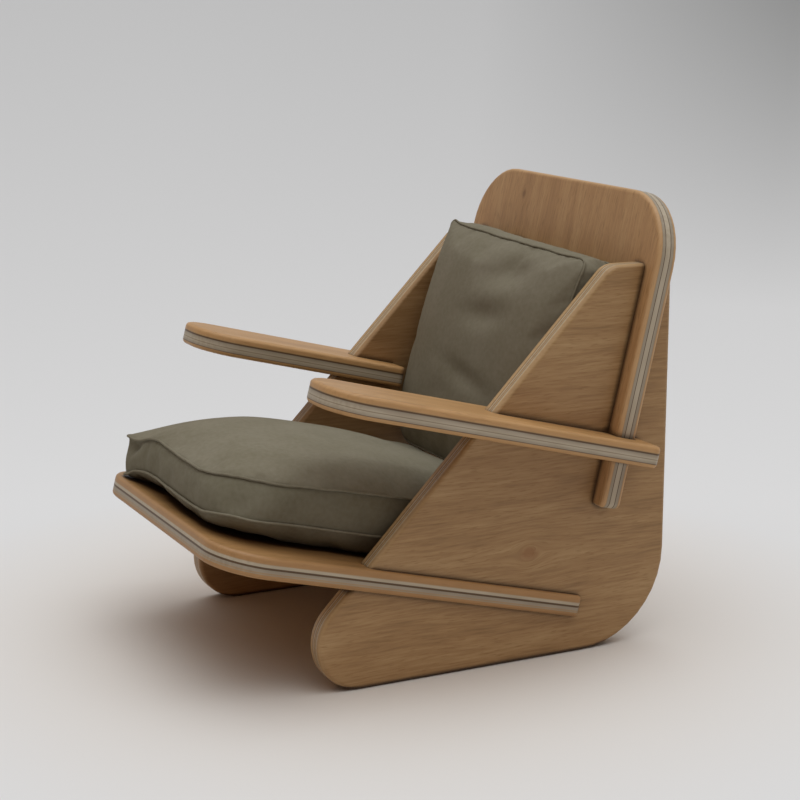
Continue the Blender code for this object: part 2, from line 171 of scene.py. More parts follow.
def plywood(name, middle, grain, face, veneer_tones, plies, knot):
    """Oiled plywood for one panel: a point of its middle plane, its grain and the way it faces.

    The plies are colours through the thickness, from 0 to 1, with the face veneer outside the
    first and the last. The knot is a point, its radius and its brown. Pores are drawn coarser
    than they are, to show.
    """
    knot_point, knot_radius, knot_brown = knot
    material, tree, shader = new_material(name, ior=1.5)
    shader.inputs["Specular IOR Level"].default_value = OIL_GLOSS
    turn = Matrix((grain, face.cross(grain), face)).transposed().to_euler()
    spot = add(tree, "TexCoord").outputs["Object"]
    local = add(tree, "Mapping", {"Vector": spot, "Location": middle, "Rotation": turn},
                vector_type="TEXTURE").outputs[0]

    from_knot = add(tree, "Mapping", {"Vector": spot, "Location": knot_point, "Rotation": turn,
                                      "Scale": (KNOT_STRETCH, 1, RIGHT_THROUGH)},
                    vector_type="TEXTURE").outputs[0]
    across_knot = add(tree, "SeparateXYZ", {"Vector": from_knot}).outputs["Y"]
    square = add(tree, "VectorMath", {0: from_knot, 1: from_knot},
                 operation="DOT_PRODUCT").outputs["Value"]
    share = add(tree, "Math", {0: square, 1: knot_radius ** 2 / 4}, operation="ADD").outputs[0]
    share = add(tree, "Math", {0: knot_radius ** 2, 1: share}, operation="DIVIDE").outputs[0]
    round_knot = add(tree, "Math", {0: across_knot, 1: share}, operation="MULTIPLY").outputs[0]

    frequency = (per_metre(WANDER_MM[0]), per_metre(WANDER_MM[1]), 1.0)
    slow = add(tree, "Mapping", {"Vector": local, "Scale": frequency}).outputs[0]
    wander = add(tree, "TexNoise", {"Vector": slow, "Scale": 1.0, "Detail": 1.0}).outputs["Fac"]
    wander = add(tree, "Math", {0: wander, 1: WANDER, 2: -WANDER / 2},
                 operation="MULTIPLY_ADD").outputs[0]
    shift = add(tree, "Math", {0: wander, 1: round_knot}, operation="SUBTRACT").outputs[0]
    shift = add(tree, "CombineXYZ", {"Y": shift}).outputs[0]
    grown = add(tree, "VectorMath", {0: local, 1: shift}, operation="ADD").outputs[0]

    wood = {}
    for feature, size_mm, detail in FEATURES:
        frequency = (per_metre(size_mm[0]), per_metre(size_mm[1]), per_metre(size_mm[1]) / 2)
        stretched = add(tree, "Mapping", {"Vector": grown, "Scale": frequency}).outputs[0]
        pattern = {"Vector": stretched, "Scale": 1.0, "Detail": detail}
        wood[feature] = add(tree, "TexNoise", pattern).outputs["Fac"]

    tone = add(tree, "Mix", {"Factor": 0.5, "A": wood["bands"], "B": wood["fibres"]},
               data_type="FLOAT").outputs[0]
    veneer = add(tree, "ValToRGB", {"Fac": tone}, stops=list(zip(VENEER_PLACES, veneer_tones))).outputs[0]
    pore = add(tree, "MapRange", {"Value": wood["flecks"], **PORES})
    veneer = add(tree, "Mix", {"Factor": pore.outputs[0], "A": veneer, "B": linear(FLECK_BROWN)},
                 data_type="RGBA").outputs[2]
    heart = add(tree, "MapRange", {"Value": share, **KNOT_HEART})
    veneer = add(tree, "Mix", {"Factor": heart.outputs[0], "A": veneer, "B": linear(knot_brown)},
                 data_type="RGBA").outputs[2]

    # Painted highlight on the round-overs, found from how far the normal turns from the face.
    normal = add(tree, "NewGeometry").outputs["Normal"]
    facing = add(tree, "VectorMath", {0: normal, 1: face}, operation="DOT_PRODUCT").outputs["Value"]
    facing = add(tree, "Math", {0: facing}, operation="ABSOLUTE").outputs[0]
    round_over_highlight = add(tree, "MapRange", {"Value": facing, **ROUND_OVER_HIGHLIGHT})
    veneer = add(tree, "Mix", {"Factor": round_over_highlight.outputs[0], "A": veneer, "B": linear(veneer_tones[2])},
                 data_type="RGBA").outputs[2]

    through = add(tree, "SeparateXYZ", {"Vector": local}).outputs["Z"]
    half_m = PANEL_MM / 2000
    depth = add(tree, "MapRange", {"Value": through, "From Min": -half_m, "From Max": half_m})
    layers = add(tree, "ValToRGB", {"Fac": depth.outputs[0]}, stops=plies).outputs[0]
    worn = add(tree, "ValToRGB", {"Fac": wood["fibres"]}, stops=PLY_WEAR).outputs[0]
    layers = add(tree, "Mix", {"Factor": 1.0, "A": layers, "B": worn}, data_type="RGBA",
                 blend_type="MULTIPLY").outputs[2]
    first, last = plies[0][0], plies[-1][0]
    inside = add(tree, "ValToRGB", {"Fac": depth.outputs[0]},
                 stops=[(first - PLY_BLUR, "#000000"), (first, "#FFFFFF"),
                        (last, "#FFFFFF"), (last + PLY_BLUR, "#000000")])
    colour = add(tree, "Mix", {"Factor": inside.outputs[0], "A": veneer, "B": layers},
                 data_type="RGBA").outputs[2]
    # Painted shade from an ambient occlusion node, at the joints, in corners and near the floor.
    open_air = add(tree, "AmbientOcclusion", {"Distance": PAINTED_SHADE_REACH}, samples=8).outputs["AO"]
    painted_shade = add(tree, "MapRange", {"Value": open_air, **PAINTED_SHADE}).outputs[0]
    colour = add(tree, "Mix", {"Factor": painted_shade, "A": colour, "B": linear(PAINTED_SHADE_GREY)}, data_type="RGBA",
                 blend_type="MULTIPLY").outputs[2]
    tree.links.new(colour, shader.inputs["Base Color"])

    sheen = add(tree, "MapRange", {"Value": wood["fibres"], **OIL_ROUGHNESS}).outputs[0]
    tree.links.new(sheen, shader.inputs["Roughness"])
    relief = add(tree, "Bump", {"Height": wood["fibres"], **GRAIN_RELIEF}).outputs[0]
    tree.links.new(relief, shader.inputs["Normal"])
    return material


PALE_PLY = "#B9AD97"
GREY_PLY = "#A19683"
GOLD_PLY = "#BB9B6E"
TAN_PLY = "#AB8A60"
DARK_PLY = "#5C452E"
GLUE_LINE = "#857761"
ARM_PLIES = [(0.17, TAN_PLY), (0.19, DARK_PLY), (0.22, GREY_PLY), (0.37, PALE_PLY), (0.40, GLUE_LINE),
             (0.43, PALE_PLY), (0.59, GREY_PLY), (0.63, DARK_PLY), (0.67, DARK_PLY), (0.70, TAN_PLY)]
# The seat's plies are tan and grey below the middle and pale above: the tan below is painted shade.
SEAT_PLIES = [(0.22, TAN_PLY), (0.25, GREY_PLY), (0.30, TAN_PLY), (0.33, GREY_PLY), (0.45, GREY_PLY),
              (0.47, DARK_PLY), (0.54, DARK_PLY), (0.56, PALE_PLY), (0.66, PALE_PLY), (0.70, TAN_PLY)]
BACK_PLIES = [(0.18, TAN_PLY), (0.22, GREY_PLY), (0.34, GREY_PLY), (0.35, DARK_PLY), (0.375, DARK_PLY),
              (0.385, PALE_PLY), (0.615, PALE_PLY), (0.625, DARK_PLY), (0.65, DARK_PLY), (0.66, GREY_PLY),
              (0.78, GREY_PLY), (0.82, TAN_PLY)]
SIDE_PLIES = [(0.20, GOLD_PLY), (0.33, GOLD_PLY), (0.345, DARK_PLY), (0.365, DARK_PLY), (0.38, GOLD_PLY),
              (0.49, PALE_PLY), (0.505, DARK_PLY), (0.525, DARK_PLY), (0.54, GOLD_PLY), (0.62, GOLD_PLY),
              (0.635, DARK_PLY), (0.65, DARK_PLY), (0.665, PALE_PLY), (0.80, GOLD_PLY)]

# %% [markdown]
# ## Panels
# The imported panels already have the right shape, so they stay and only get their finish. They come
# in as separate triangles with flat shading. Merging the triangles' corners, shading them smooth
# and letting the broad faces set the normals makes the rounded edges look turned by a router.
# These are modifiers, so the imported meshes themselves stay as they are.

# %% Panel directions
RAKE = math.radians(14.5)
BACK_LEAN = math.radians(13.4)
ACROSS = Vector((1, 0, 0))
LEVEL = Vector((0, 1, 0))
SEAT_REARWARD = Vector((0, math.cos(RAKE), -math.sin(RAKE)))
SEAT_UP = Vector((0, math.sin(RAKE), math.cos(RAKE)))
BACK_DOWN = Vector((0, -math.sin(BACK_LEAN), -math.cos(BACK_LEAN)))
BACK_FORWARD = Vector((0, -math.cos(BACK_LEAN), math.sin(BACK_LEAN)))


def span(node, direction):
    """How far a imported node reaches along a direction: least and most, in metres."""
    reach = [direction.dot(vert.co) for vert in nodes[node].data.vertices]
    return min(reach), max(reach)


def middle_of(node, direction):
    """Point of a panel's middle plane, given the direction that it faces."""
    return direction * sum(span(node, direction)) / 2


PANELS = {
    "side_panel_left": (LEVEL, ACROSS, SIDE_VENEER, SIDE_PLIES,
                        ((0.3045, rear_edge - 0.288, 0.201), 0.017, "#8C5E38")),
    # The far side panel takes a darker veneer: painted shade.
    "side_panel_right": (LEVEL, ACROSS, FAR_SIDE_VENEER_PAINTED_SHADE, SIDE_PLIES,
                         ((-0.3045, rear_edge - 0.140, 0.480), 0.009, "#7A5232")),
    "seat_panel": (SEAT_REARWARD, SEAT_UP, SEAT_VENEER, SEAT_PLIES,
                   ((0.120, rear_edge - 0.420, 0.150), 0.009, "#7A5232")),
    "back_panel": (BACK_DOWN, BACK_FORWARD, BACK_VENEER, BACK_PLIES,
                   ((-0.160, rear_edge - 0.039, 0.784), 0.009, "#6E4B2D")),
    # The armrests take the lighter veneer: painted light for their lit tops.
    "armrest_left": (SEAT_REARWARD, SEAT_UP, ARM_VENEER_PAINTED_LIGHT, ARM_PLIES,
                     ((0.340, rear_edge - 0.180, 0.380), 0.009, "#7A5232")),
    "armrest_right": (SEAT_REARWARD, SEAT_UP, ARM_VENEER_PAINTED_LIGHT, ARM_PLIES,
                      ((-0.350, rear_edge - 0.260, 0.400), 0.009, "#7A5232")),
}
for name, (grain, face, veneer, plies, knot) in PANELS.items():
    finish = plywood("oiled plywood " + name, middle_of(name, face), grain, face, veneer, plies, knot)
    nodes[name].data.materials.clear()
    nodes[name].data.materials.append(finish)
print("panels:", ", ".join(PANELS))

# %% Rounded edges that shade smoothly
SHARP_EDGE = math.radians(40)
MERGE = 0.00002


def smoothing_group():
    """Geometry nodes that merge a panel's triangles and shade all but its sharp edges smooth."""
    group = bpy.data.node_groups.new("merge and smooth", "GeometryNodeTree")
    group.interface.new_socket("Geometry", in_out="INPUT", socket_type="NodeSocketGeometry")
    group.interface.new_socket("Geometry", in_out="OUTPUT", socket_type="NodeSocketGeometry")
    start = group.nodes.new("NodeGroupInput")
    merge = group.nodes.new("GeometryNodeMergeByDistance")
    merge.inputs["Distance"].default_value = MERGE
    faces = group.nodes.new("GeometryNodeSetShadeSmooth")
    edges = group.nodes.new("GeometryNodeSetShadeSmooth")
    edges.domain = "EDGE"
    edges.inputs["Shade Smooth"].default_value = False
    angle = group.nodes.new("GeometryNodeInputMeshEdgeAngle")
    sharp = group.nodes.new("FunctionNodeCompare")
    sharp.inputs[1].default_value = SHARP_EDGE
    end = group.nodes.new("NodeGroupOutput")
    group.links.new(start.outputs[0], merge.inputs["Geometry"])
    group.links.new(merge.outputs[0], faces.inputs["Geometry"])
    group.links.new(faces.outputs[0], edges.inputs["Geometry"])
    group.links.new(angle.outputs["Unsigned Angle"], sharp.inputs[0])
    group.links.new(sharp.outputs[0], edges.inputs["Selection"])
    group.links.new(edges.outputs[0], end.inputs[0])
    return group


smoothing = smoothing_group()
for name in PANELS:
    merged = nodes[name].modifiers.new("merge and smooth", "NODES")
    merged.node_group = smoothing
    weighted = nodes[name].modifiers.new("broad faces lead", "WEIGHTED_NORMAL")
    weighted.keep_sharp = True
print("panels shaded smooth below", round(math.degrees(SHARP_EDGE)), "degrees")

# %% [markdown]
# ## Woven cloth
# The covers are a plain woven cotton cloth in olive grey. Its threads are too fine to see from
# here, but they scatter light: the cloth looks matt, with a faint pale bloom where it turns away,
# and slubs and uneven dye make it slightly blotchy. The seat cushion's boxing, the strip round its
# side, and its underside are drawn in a darker copy of the cloth: painted shade, for the sides and
# underside that the overhead light reaches less. The piping is cut on the bias and is nearly the
# covers' shade.

# %% Woven cloth
THREAD_MM = 1.6
SLUB_MM = 9
BLOTCH_MM = 90
# A wave texture repeats every pi / 10 at a scale of 1.
WAVE_REPEAT = math.pi / 10
THREAD_WAVER = {"Distortion": 0.6, "Detail": 1.0}
CLOTH_PLACES = (0.30, 0.5, 0.72)
CLOTH_GLOSS = 0.25
SLUB_SHARE = 0.3
CLOTH_RELIEF = {"Strength": 0.2, "Distance": 0.0006}


def woven_cloth(name, shade, mid, tint):
    """Olive grey cloth. The threads are drawn about three times too coarse, so that they show."""
    material, tree, shader = new_material(name, roughness=0.92, sheen_weight=0.2, sheen_roughness=0.5)
    shader.inputs["Specular IOR Level"].default_value = CLOTH_GLOSS
    shader.inputs["Sheen Tint"].default_value = linear(tint)
    spot = add(tree, "TexCoord").outputs["Object"]
    weave = None
    for axis in "XYZ":
        waves = {"Vector": spot, "Scale": per_metre(THREAD_MM) * WAVE_REPEAT, **THREAD_WAVER}
        thread = add(tree, "TexWave", waves, bands_direction=axis).outputs["Fac"]
        if weave is None:
            weave = thread
        else:
            weave = add(tree, "Math", {0: weave, 1: thread}, operation="MULTIPLY").outputs[0]
    fine = {"Vector": spot, "Scale": per_metre(SLUB_MM), "Detail": 4.0}
    slubs = add(tree, "TexNoise", fine).outputs["Fac"]
    broad = {"Vector": spot, "Scale": per_metre(BLOTCH_MM), "Detail": 2.0}
    blotches = add(tree, "TexNoise", broad).outputs["Fac"]
    tone = add(tree, "Mix", {"Factor": 0.5, "A": slubs, "B": blotches}, data_type="FLOAT").outputs[0]
    tones = list(zip(CLOTH_PLACES, (shade, mid, tint)))
    colour = add(tree, "ValToRGB", {"Fac": tone}, stops=tones).outputs[0]
    tree.links.new(colour, shader.inputs["Base Color"])
    height = add(tree, "Mix", {"Factor": SLUB_SHARE, "A": weave, "B": slubs}, data_type="FLOAT").outputs[0]
    relief = add(tree, "Bump", {"Height": height, **CLOTH_RELIEF}).outputs[0]
    tree.links.new(relief, shader.inputs["Normal"])
    return material


cover_cloth = woven_cloth("olive grey woven cotton", "#726C59", "#7A7462", "#827C6B")
# A darker copy of the cover cloth for the seat cushion's boxing and underside: painted shade.
boxing_cloth = woven_cloth("olive grey woven cotton boxing in painted shade", "#67624F", "#6F6A58", "#777261")
piping_cloth = woven_cloth("olive grey bias-cut piping cotton", "#706A57", "#787260", "#807A69")
print("cloth threads drawn at", THREAD_MM, "mm")

# %% [markdown]
# ## Cushion shape
# A box cushion is two cut panels and a strip of boxing between them. Filling makes the panels
# belly out and pulls the seams in between the corners. The shape is worked out on a cube whose
# faces are cut into a fine grid: a point's place on the cube says which panel it belongs to and
# how far it lies from the seams, and a formula puts it where the sewn cover holds it. Slack
# corners and a sagging front are pushes that fade out round one spot of the cover, and folds are
# pushes of the boxing alone.

# %% Cushion shape
GRID = 60
BAND_ROWS = 6
RESTS_ABOVE = 0.0006
RIPPLE_MM = 55
RIPPLE_RISE = 0.03
ON_PANEL = 0.999
SEAM_CREASE = 0.8


def rounded(x, y, half_width, half_length, radius):
    """Move a point of a rectangle so that the rectangle's corner becomes an arc."""
    past_x = abs(x) - half_width + radius
    past_y = abs(y) - half_length + radius
    if past_x <= 0 or past_y <= 0:
        return x, y
    share_x = past_x / radius
    share_y = past_y / radius
    arc_x = half_width - radius + past_x * math.sqrt(1 - share_y ** 2 / 2)
    arc_y = half_length - radius + past_y * math.sqrt(1 - share_x ** 2 / 2)
    return math.copysign(arc_x, x), math.copysign(arc_y, y)


def pushes(cushion, u, v):
    """How far the slack of the cover moves its lower and its upper seam at this spot."""
    moved = [Vector(), Vector()]
    for (spot_u, spot_v), (reach_u, reach_v), *moves in cushion["pushes"]:
        fade = math.exp(-((u - spot_u) / reach_u) ** 2 - ((v - spot_v) / reach_v) ** 2)
        moved = [so_far + fade * Vector(move) for so_far, move in zip(moved, moves)]
    return moved


def cover_point(cushion, place):
    """Where a point of the cube lies on the cushion, in the cushion's own frame.

    X runs across it, Y from its plain end to its zip end, and Z away from what it lies on.
    """
    u = math.sin(place.x * math.pi / 2)
    v = math.sin(place.y * math.pi / 2)
    rise = (place.z + 1) / 2
    low_radius, high_radius = cushion["corner_radius"][u > 0, v > 0]
    width, length = cushion["half_width"], cushion["half_length"]
    radius = low_radius + (high_radius - low_radius) * rise
    x, y = rounded(u * width, v * length, width, length, radius)
    ripple = cushion["ripple"] * noise.noise(Vector((x, y, rise * RIPPLE_RISE)) * per_metre(RIPPLE_MM))
    swollen = cushion["boxing_bulge"] * (1 - place.z ** 2) * (1 - (u * v) ** 6) + ripple
    x += u * (swollen - cushion["draw_in"] * (1 - v * v))
    y += min(v, 0) * (swollen - cushion["draw_in"] * (1 - u * u))

    plain, zipped = cushion["seam_heights"]
    low_seam = plain + (zipped - plain) * ((1 + v) / 2) ** cushion["seam_curve"]
    side_fall = cushion["side_falls"][u > 0]
    end_fall = cushion["end_falls"][v > 0]
    swell = (1 - u * u) ** side_fall * (1 - v * v) ** end_fall
    z = low_seam + cushion["boxing"] * rise
    if place.z > ON_PANEL:
        z += cushion["crown"] * swell
    elif place.z < -ON_PANEL:
        far_fall, near_fall = cushion["under_falls"]
        under_fall = far_fall + (near_fall - far_fall) * (1 + u) / 2
        z -= cushion["sag"] * (1 - u * u) ** side_fall * (1 - v * v) ** under_fall
    low_move, high_move = pushes(cushion, u, v)
    point = Vector((x, y, z)) + low_move.lerp(high_move, rise)
    if abs(place.z) < ON_PANEL:
        for spot, reach, move in cushion["folds"]:
            away = sum(((here - there) / far) ** 2 for here, there, far in zip((u, v, rise), spot, reach))
            point += math.exp(-away) * Vector(move)
    point.z = max(point.z, RESTS_ABOVE)
    return point


def gridded_cube():
    """Cube from -1 to 1 with a fine grid on each face, ready to be shaped."""
    bm = bmesh.new()
    bmesh.ops.create_cube(bm, size=2)
    upright = [edge for edge in bm.edges if abs(edge.verts[0].co.z - edge.verts[1].co.z) > 1]
    bmesh.ops.subdivide_edges(bm, edges=upright, cuts=BAND_ROWS - 1, use_grid_fill=True)
    level = [edge for edge in bm.edges if abs(edge.verts[0].co.z - edge.verts[1].co.z) < 0.01]
    bmesh.ops.subdivide_edges(bm, edges=level, cuts=GRID - 1, use_grid_fill=True)
    bm.verts.index_update()
    return bm


def add_object(name, data, matrix, *materials):
    """New object in the scene, placed and with its materials."""
    made = bpy.data.objects.new(name, data)
    bpy.context.scene.collection.objects.link(made)
    made.matrix_world = matrix
    for material in materials:
        made.data.materials.append(material)
    return made


def on_seam(place):
    """Whether a point of the cube is on one of the two seams."""
    return abs(place.z) > ON_PANEL and max(abs(place.x), abs(place.y)) > ON_PANEL


def sewn_cover(name, cushion, matrix):
    """Cushion cover as one closed mesh, the points of its two seams in order, and its upper face."""
    bm = gridded_cube()
    seams = {"low": [], "high": []}
    for vert in bm.verts:
        if on_seam(vert.co):
            seams["high" if vert.co.z > 0 else "low"].append((math.atan2(vert.co.y, vert.co.x), vert.index))
    upper = [vert.index for vert in bm.verts if vert.co.z > ON_PANEL and not on_seam(vert.co)]
    crease = bm.edges.layers.float.new("crease_edge")
    for edge in bm.edges:
        if on_seam(edge.verts[0].co) and on_seam(edge.verts[1].co):
            edge[crease] = SEAM_CREASE
    bm.normal_update()
    # Faces that don't face up take the second cloth, for the seat cushion a darker copy: painted shade.
    for face in bm.faces:
        face.material_index = int(face.normal.z < 0.5)
    for vert in bm.verts:
        vert.co = cover_point(cushion, vert.co)
    mesh = bpy.data.meshes.new(name)
    bm.to_mesh(mesh)
    bm.free()
    mesh.shade_smooth()
    cover = add_object(name, mesh, matrix, cover_cloth, cushion["boxing_cloth"])
    return cover, {side: [index for _, index in sorted(ring)] for side, ring in seams.items()}, upper


print("cushion grid:", GRID, "by", GRID, "with", BAND_ROWS, "rows of boxing")

# %% [markdown]
# ## Filling the covers
# Sewn cloth never lies as evenly as a formula. A short cloth simulation gives each cover a little
# spare cloth and lets the filling push it out, while the seams and the face that it lies on stay
# put. The cloth then finds its own soft puckers. Each point may move only a little, so the
# cushion keeps the size it was cut to. Dents that someone left, and swells, are pressed in after.

# %% Filling
FILL_FRAMES = 20
FILL_PRESSURE = 2.0
SPARE_CLOTH = 0.01


def fill_cover(cover, held, pressure, slack, most):
    """Push a cover out from inside for a few frames and keep the shape it takes."""
    group = cover.vertex_groups.new(name="held")
    group.add(held, 1.0, "REPLACE")
    cloth = cover.modifiers.new("filling", "CLOTH")
    cloth.settings.quality = 6
    cloth.settings.mass = 0.25
    cloth.settings.tension_stiffness = 14
    cloth.settings.compression_stiffness = 14
    cloth.settings.shear_stiffness = 5
    cloth.settings.bending_stiffness = 3
    cloth.settings.use_pressure = True
    cloth.settings.uniform_pressure_force = pressure
    cloth.settings.shrink_min = -slack
    cloth.settings.vertex_group_mass = "held"
    cloth.settings.effector_weights.gravity = 0
    cloth.collision_settings.use_collision = False
    for step in range(1, FILL_FRAMES + 1):
        bpy.context.scene.frame_set(step)
    filled = cover.evaluated_get(bpy.context.evaluated_depsgraph_get()).data
    moves = [after.co - before.co for after, before in zip(filled.vertices, cover.data.vertices)]
    cover.modifiers.remove(cloth)
    cover.vertex_groups.remove(group)
    bpy.context.scene.frame_set(1)
    for vert, move in zip(cover.data.vertices, moves):
        if move.length > most:
            move *= most / move.length
        vert.co += move
        vert.co.z = max(vert.co.z, RESTS_ABOVE)
    print(cover.name, "moved at most", round(max(move.length for move in moves) * 1000, 1), "mm when filled")


def press_dents(cover, upper, dents):
    """Press soft hollows into the upper face: place, half length and width, turn and depth.

    A negative depth makes a swell.
    """
    for x, y, half_length, half_width, turn, depth in dents:
        along = Vector((math.cos(turn), math.sin(turn), 0))
        over = Vector((-along.y, along.x, 0))
        for index in upper:
            vert = cover.data.vertices[index]
            aside = vert.co - Vector((x, y, 0))
            fade = math.exp(-(aside.dot(along) / half_length) ** 2 - (aside.dot(over) / half_width) ** 2)
            vert.co.z -= depth * fade


print("covers are filled over", FILL_FRAMES, "frames")

# %% [markdown]
# ## Piping
# Each seam has a cord sewn into it, wrapped in the same cloth. The stitches pull the cover in a
# little, so the cord lies in a shallow groove, with its middle 1 to 2 mm outside the seam. A curve
# through the seam's points, with a round bevel, gives it.

# %% Piping
PIPING_RADIUS = 0.0023
SEAM_PULL = 0.0010
PIPING_WAVER = 0.0006
PIPING_WAVER_MM = 32


def sew_piping(name, cover, ring, proud, body, node):
    """Pull one seam of a cover in and lay piping along it, its middle this far outside the seam."""
    outward = [cover.data.vertex_normals[index].vector.copy() for index in ring]
    path = []
    for index, out in zip(ring, outward):
        vert = cover.data.vertices[index]
        waver = PIPING_WAVER * noise.noise(vert.co * per_metre(PIPING_WAVER_MM))
        path.append(vert.co + out * proud + Vector((0, 0, waver)))
        vert.co -= out * SEAM_PULL
    curve = bpy.data.curves.new(name, "CURVE")
    curve.dimensions = "3D"
    curve.bevel_depth = PIPING_RADIUS
    curve.bevel_resolution = 3
    spline = curve.splines.new("POLY")
    spline.points.add(len(path) - 1)
    for spot, point in zip(spline.points, path):
        spot.co = (*point, 1)
    spline.use_cyclic_u = True
    cord = add_object(name, curve, cover.matrix_world, piping_cloth)
    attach(cord, body)
    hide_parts(node)


print("piping", PIPING_RADIUS * 2000, "mm thick")

# %% [markdown]
# ## Seat cushion
# The seat cushion lies on the raked seat between the side panels. Its front corner on the
# sitter's left is stuffed round, and the other front corner is slack: it droops onto the seat and
# its seams end in a pointed dog-ear. The crown falls away towards the back, where two low swells
# rise towards the back cushion's foot.

# %% Seat cushion
ZIP_BED = 0.002
LIES_WITHIN = 0.001
ZIP_END_WITHIN = 0.0005
SEAT_PIPING_PROUD = 0.0020
SEAT_MOST_MOVE = 0.010


def cushion_frame(node, across, along, normal, rests_on):
    """Frame in the middle of a packed cushion, on the face of the panel that it lies on."""
    middle = sum(span(node, along)) / 2
    surface = span(rests_on, normal)[1]
    matrix = Matrix((across, along, normal)).transposed().to_4x4()
    matrix.translation = along * middle + normal * surface
    return matrix


def cut_half_length(node, along):
    """Half the cover's length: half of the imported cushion's, and the cloth that the zip is sewn to."""
    low, high = span(node, along)
    return (high - low) / 2 + ZIP_BED


def resting(cover, half_length):
    """Points that filling can't move: those on the panel, and the flat end that holds the zip."""
    return [vert.index for vert in cover.data.vertices
            if vert.co.z < RESTS_ABOVE + LIES_WITHIN or vert.co.y > half_length - ZIP_END_WITHIN]


SEAT_CUSHION = {
    "half_width": 0.2500,
    "half_length": cut_half_length("seat_cushion_core", SEAT_REARWARD),
    "corner_radius": {(True, False): (0.085, 0.150), (False, False): (0.014, 0.014),
                      (True, True): (0.040, 0.040), (False, True): (0.040, 0.040)},
    "draw_in": 0.004,
    "boxing": 0.065,
    "boxing_cloth": boxing_cloth,
    "boxing_bulge": 0.005,
    "ripple": 0.0030,
    "seam_heights": (0.047, 0.045),
    "seam_curve": 1.0,
    "crown": 0.0555,
    "side_falls": (0.34, 0.50),
    "end_falls": (0.50, 0.75),
    "under_falls": (0.72, 0.50),
    "sag": 0.070,
    "pushes": [
        ((-0.10, -1.00), (0.75, 0.40), (0.000, -0.006, -0.011), (0.000, -0.006, -0.014)),
        ((-1.00, -1.00), (0.36, 0.36), (0.000, 0.000, -0.040), (0.000, 0.000, -0.032)),
        ((-1.00, -1.00), (0.10, 0.10), (0.003, 0.002, 0.000), (-0.003, -0.003, 0.000)),
        ((-0.74, -1.00), (0.17, 0.30), (0.000, 0.000, 0.004), (0.000, 0.000, -0.006)),
        ((0.55, -1.00), (0.45, 0.26), (0.000, 0.000, -0.010), (0.000, 0.000, -0.011)),
        ((1.00, 0.00), (0.60, 0.55), (0.000, 0.000, 0.000), (0.000, 0.000, 0.007)),
    ],
    "folds": [
        ((-0.83, -1.00, 0.80), (0.11, 0.30, 0.22), (0.000, 0.014, 0.000)),
        ((-0.55, -1.00, 0.55), (0.06, 0.30, 0.40), (0.000, 0.004, 0.000)),
    ],
}
SEAT_DENTS = [
    (-0.18, 0.215, 0.06, 0.040, 0.0, -0.0065),
    (0.18, 0.215, 0.06, 0.040, 0.0, -0.0065),
    (0.06, 0.02, 0.16, 0.05, 0.5, 0.003),
    (-0.10, 0.16, 0.10, 0.05, -0.4, 0.003),
    (0.13, -0.20, 0.09, 0.03, 0.9, 0.003),
]
seat_matrix = cushion_frame("seat_cushion_core", ACROSS, SEAT_REARWARD, SEAT_UP, "seat_panel")
seat_cushion, seat_seams, seat_upper = sewn_cover("seat_cushion", SEAT_CUSHION, seat_matrix)
held = resting(seat_cushion, SEAT_CUSHION["half_length"]) + seat_seams["low"] + seat_seams["high"]
fill_cover(seat_cushion, held, FILL_PRESSURE, SPARE_CLOTH, SEAT_MOST_MOVE)
press_dents(seat_cushion, seat_upper, SEAT_DENTS)
sew_piping("seat_cushion_top_cord", seat_cushion, seat_seams["high"], SEAT_PIPING_PROUD,
           "seat_cushion", "seat_cushion_top_piping")
sew_piping("seat_cushion_low_cord", seat_cushion, seat_seams["low"], SEAT_PIPING_PROUD,
           "seat_cushion", "seat_cushion_bottom_piping")
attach(seat_cushion, "seat_cushion")
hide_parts("seat_cushion_core", "seat_cushion_top_cover", "seat_cushion_bottom_cover",
            "seat_cushion_boxing")
print("seat cushion", [round(size, 3) for size in seat_cushion.dimensions], "m")

# %% [markdown]
# ## Back cushion
# The back cushion leans on the back, just over the seat cushion. It is thicker at the foot,
# where the filling has settled, and softer than the seat: there are hollows across it. Seen from
# in front its X runs to the sitter's right, and its plain end is at the top.

# %% Back cushion
BACK_PIPING_PROUD = 0.0011
BACK_MOST_MOVE = 0.008
BACK_CUSHION = {
    "half_width": 0.2500,
    "half_length": cut_half_length("back_cushion_core", BACK_DOWN),
    "corner_radius": {(True, False): (0.020, 0.012), (False, False): (0.030, 0.026),
                      (True, True): (0.050, 0.070), (False, True): (0.040, 0.040)},
    "draw_in": 0.003,
    "boxing": 0.064,
    "boxing_cloth": cover_cloth,
    "boxing_bulge": 0.008,
    "ripple": 0.0014,
    "seam_heights": (0.027, 0.058),
    "seam_curve": 0.6,
    "crown": 0.045,
    "side_falls": (0.45, 0.38),
    "end_falls": (0.40, 0.50),
    "under_falls": (0.40, 0.40),
    "sag": 0.075,
    "pushes": [
        ((-1.00, -1.00), (0.80, 0.35), (0.000, 0.003, 0.000), (-0.003, 0.004, -0.003)),
        ((0.00, -1.00), (0.70, 0.35), (0.000, -0.003, 0.000), (0.000, -0.003, 0.000)),
        ((1.00, -1.00), (0.60, 0.35), (0.000, -0.011, 0.000), (0.000, -0.006, 0.000)),
        ((1.00, -1.00), (0.07, 0.07), (0.000, 0.000, 0.000), (0.006, -0.006, 0.000)),
    ],
    "folds": [],
}
BACK_DENTS = [
    (-0.068, -0.158, 0.068, 0.025, 0.12, 0.018),
    (-0.043, -0.073, 0.060, 0.020, 0.08, 0.012),
    (-0.040, 0.049, 0.080, 0.016, -0.19, 0.009),
    (0.060, 0.100, 0.050, 0.025, 0.60, 0.003),
]
back_matrix = cushion_frame("back_cushion_core", -ACROSS, BACK_DOWN, BACK_FORWARD, "back_panel")
back_cushion, back_seams, back_upper = sewn_cover("back_cushion", BACK_CUSHION, back_matrix)
held = resting(back_cushion, BACK_CUSHION["half_length"]) + back_seams["low"] + back_seams["high"]
